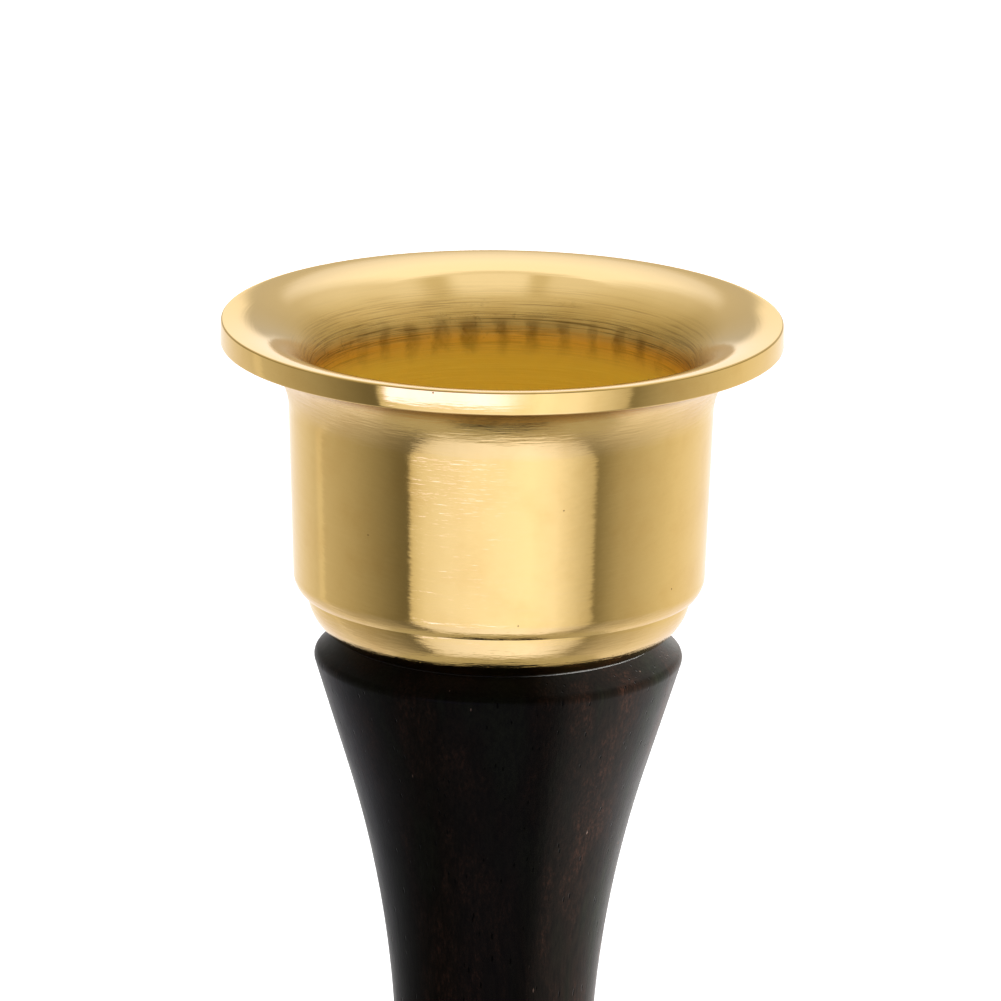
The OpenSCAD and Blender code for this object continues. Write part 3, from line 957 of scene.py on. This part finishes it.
def make_camera():
    """A long lens close to the cup, 15 degrees above it, and turned a little about its axis."""
    distance = 900 * MM
    elevation = math.radians(15.39)
    roll = math.radians(0.715)
    rim_height = 19.6 * MM
    across = 0.112 * MM
    down = 10.896 * MM
    aim = Vector((0, 0, SEAT + rim_height))
    up = Vector((0, math.sin(elevation), math.cos(elevation)))
    ahead = Vector((0, math.cos(elevation), -math.sin(elevation)))
    right = Matrix.Rotation(-roll, 3, ahead) @ Vector((1, 0, 0))
    up = Matrix.Rotation(-roll, 3, ahead) @ up
    data = bpy.data.cameras.new("camera")
    data.sensor_width = 36
    data.lens = 537.4
    data.clip_start = 0.01
    data.clip_end = 100
    camera = bpy.data.objects.new("camera", data)
    bpy.context.scene.collection.objects.link(camera)
    place = aim - across * right - down * up - distance * ahead
    turn = Matrix((right, up, -ahead)).transposed()
    camera.matrix_world = Matrix.Translation(place) @ turn.to_4x4()
    bpy.context.scene.camera = camera


class MakeStudio(bpy.types.Operator):
    """Lays the paper, and sets the light and the camera"""

    bl_idname = "candlestick.studio"
    bl_label = "Studio"

    def execute(self, context):
        make_floor(context.scene.finishes)
        make_world()
        make_side_light()
        make_camera()
        context.scene.view_settings.view_transform = "Standard"
        return {"FINISHED"}


class CandlestickPanel(bpy.types.Panel):
    """Lists the steps that make the candlestick"""

    bl_label = "Candlestick"
    bl_idname = "VIEW3D_PT_candlestick"
    bl_space_type = "VIEW_3D"
    bl_region_type = "UI"
    bl_category = "Candlestick"

    def draw(self, context):
        for step in STEPS:
            self.layout.operator(step.bl_idname)


GROUPS = {"cup_sizes": CupSizes, "stem_sizes": StemSizes, "base_sizes": BaseSizes, "finishes": Finishes}
STEPS = (MakeCup, MakeCupScrew, MakeStem, MakeBase, MakeHardware, MakeFelt, MakeStudio)


def register():
    for item in (*GROUPS.values(), *STEPS, CandlestickPanel):
        bpy.utils.register_class(item)
    for name, group in GROUPS.items():
        setattr(bpy.types.Scene, name, PointerProperty(type=group))


def unregister():
    for name in GROUPS:
        delattr(bpy.types.Scene, name)
    for item in (CandlestickPanel, *reversed(STEPS), *reversed(GROUPS.values())):
        bpy.utils.unregister_class(item)


def main():
    register()
    for step in STEPS:
        group, name = step.bl_idname.split(".")
        getattr(getattr(bpy.ops, group), name)()


if __name__ == "__main__":
    main()
